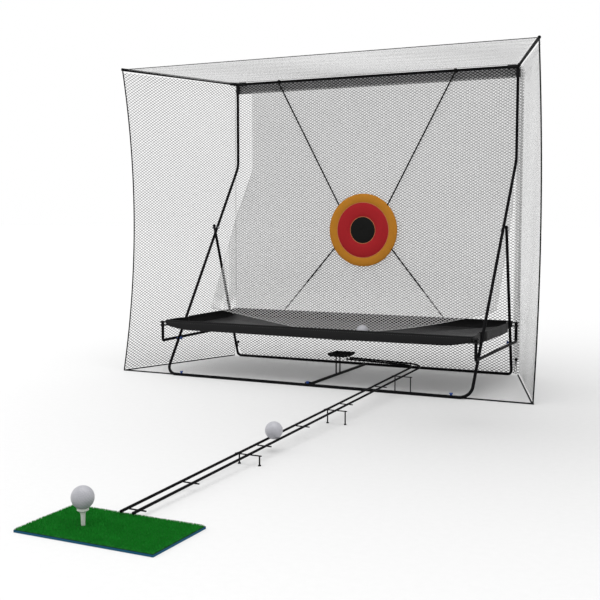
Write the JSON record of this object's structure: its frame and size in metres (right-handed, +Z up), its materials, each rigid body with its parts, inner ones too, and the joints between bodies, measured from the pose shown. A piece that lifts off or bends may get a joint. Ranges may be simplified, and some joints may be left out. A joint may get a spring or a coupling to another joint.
{
  "type": "golf chipping net",
  "caption": "Golf chipping net on a steel A-frame, with a hanging ring target, a cloth ball tray, a wire ball return rail, a turf mat with a tee, and balls.",
  "frame": {"origin": "on the floor, under the middle of the object's box", "axes": "+Y from the player towards the net, the direction of the shot; +Z up; +X to the player's right"},
  "size_m": [1.485, 2.124, 1.081],
  "materials": {
    "black_tube": "semi-gloss black paint",
    "black_plastic": "matt black",
    "bolt_steel": "zinc plated",
    "blue_knob": "moulded blue",
    "net_cord": "grey knotted net",
    "black_cloth": "black woven cloth",
    "edge_rope": "grey braided rope",
    "elastic": "black elastic and ball",
    "target_cord": "black cord",
    "orange_cloth": "orange cloth",
    "red_cloth": "red cloth",
    "black_centre": "black cloth",
    "rail_wire": "black painted wire",
    "mat_rubber": "blue foam rubber",
    "turf": "green turf",
    "white_rubber": "white rubber",
    "ball_cover": "white gloss"
  },
  "bodies": {
    "frame": {"front_bar": "black_tube", "leg_left": "black_tube", "leg_right": "black_tube", "top_bar": "black_tube", "top_corner_left": "black_plastic", "top_corner_right": "black_plastic", "arm_left": "black_tube", "arm_right": "black_tube", "rear_bar": "black_tube", "strut_left": "black_tube", "strut_right": "black_tube", "pivot_bolts": "bolt_steel", "centre_bar": "black_tube", "bracket_left": "black_tube", "bracket_right": "black_tube", "net_top": "net_cord", "net_left": "net_cord", "net_right": "net_cord", "net_back": "net_cord", "net_floor": "net_cord", "net_hitting": "net_cord", "top_band": "black_cloth", "rope_front_top": "edge_rope", "rope_front_left": "edge_rope", "rope_front_right": "edge_rope", "rope_bottom_front": "edge_rope", "rope_bottom_left": "edge_rope", "rope_bottom_right": "edge_rope", "bungees": "elastic", "tray": "black_cloth", "tray_loops": "black_cloth", "cord_upper_left": "target_cord", "cord_upper_right": "target_cord", "cord_lower_left": "target_cord", "cord_lower_right": "target_cord", "funnel": "black_plastic", "funnel_posts": "black_tube"},
    "knob_front_left": {"knob_front_left": "blue_knob"},
    "knob_front_middle": {"knob_front_middle": "blue_knob"},
    "knob_front_right": {"knob_front_right": "blue_knob"},
    "knob_leg_left": {"knob_leg_left": "blue_knob"},
    "knob_leg_right": {"knob_leg_right": "blue_knob"},
    "knob_strut_left": {"knob_strut_left": "blue_knob"},
    "knob_strut_right": {"knob_strut_right": "blue_knob"},
    "target": {"target_outer": "orange_cloth", "target_red": "red_cloth", "target_black": "black_centre"},
    "rail": {"rail_outer": "rail_wire", "rail_inner": "rail_wire", "rail_ties": "rail_wire", "rail_support_front": "rail_wire", "rail_support_middle": "rail_wire", "rail_support_rear": "rail_wire"},
    "mat": {"mat_base": "mat_rubber", "mat_turf": "turf"},
    "tee": {"tee": "white_rubber"},
    "ball_tee": {"ball_tee": "ball_cover"},
    "ball_rail": {"ball_rail": "ball_cover"},
    "ball_tray": {"ball_tray": "ball_cover"}
  },
  "joints": [
    {"name": "knob_front_left_turn", "type": "hinge", "parent": "frame", "child": "knob_front_left", "pos_m": [-0.49, 0.525, 0.014], "axis": [0, 0, 1], "continuous": true},
    {"name": "knob_front_middle_turn", "type": "hinge", "parent": "frame", "child": "knob_front_middle", "pos_m": [0, 0.525, 0.014], "axis": [0, 0, 1], "continuous": true},
    {"name": "knob_front_right_turn", "type": "hinge", "parent": "frame", "child": "knob_front_right", "pos_m": [0.49, 0.525, 0.014], "axis": [0, 0, 1], "continuous": true},
    {"name": "knob_leg_left_turn", "type": "hinge", "parent": "frame", "child": "knob_leg_left", "pos_m": [-0.543, 0.60687, 0.122], "axis": [1, 0, 0], "continuous": true},
    {"name": "knob_leg_right_turn", "type": "hinge", "parent": "frame", "child": "knob_leg_right", "pos_m": [0.543, 0.60687, 0.122], "axis": [-1, 0, 0], "continuous": true},
    {"name": "knob_strut_left_turn", "type": "hinge", "parent": "frame", "child": "knob_strut_left", "pos_m": [-0.545, 1.00141, 0.122], "axis": [1, 0, 0], "continuous": true},
    {"name": "knob_strut_right_turn", "type": "hinge", "parent": "frame", "child": "knob_strut_right", "pos_m": [0.545, 1.00141, 0.122], "axis": [-1, 0, 0], "continuous": true},
    {"name": "target_push", "type": "slide", "parent": "frame", "child": "target", "axis": [0, 1, 0], "range_m": [-0.03, 0.008], "stiffness_N_per_m": 150, "deforming": ["cord_upper_left", "cord_upper_right", "cord_lower_left", "cord_lower_right", "net_hitting"]},
    {"name": "rail_lift", "type": "slide", "parent": "frame", "child": "rail", "axis": [0, 0, 1], "range_m": [0, 0.04]},
    {"name": "ball_rail_roll", "type": "slide", "parent": "rail", "child": "ball_rail", "axis": [0, -0.9996, -0.0285], "range_m": [-0.95, 0.55]},
    {"name": "ball_tray_lift", "type": "slide", "parent": "frame", "child": "ball_tray", "axis": [0, 0, 1], "range_m": [0, 0.1]},
    {"name": "mat_pull", "type": "slide", "parent": "frame", "child": "mat", "axis": [0, -1, 0], "range_m": [0, 0.2]},
    {"name": "tee_pull", "type": "slide", "parent": "mat", "child": "tee", "axis": [0, 0, 1], "range_m": [0, 0.06]},
    {"name": "ball_tee_lift", "type": "slide", "parent": "tee", "child": "ball_tee", "axis": [0, 0, 1], "range_m": [0, 0.15]}
  ]
}
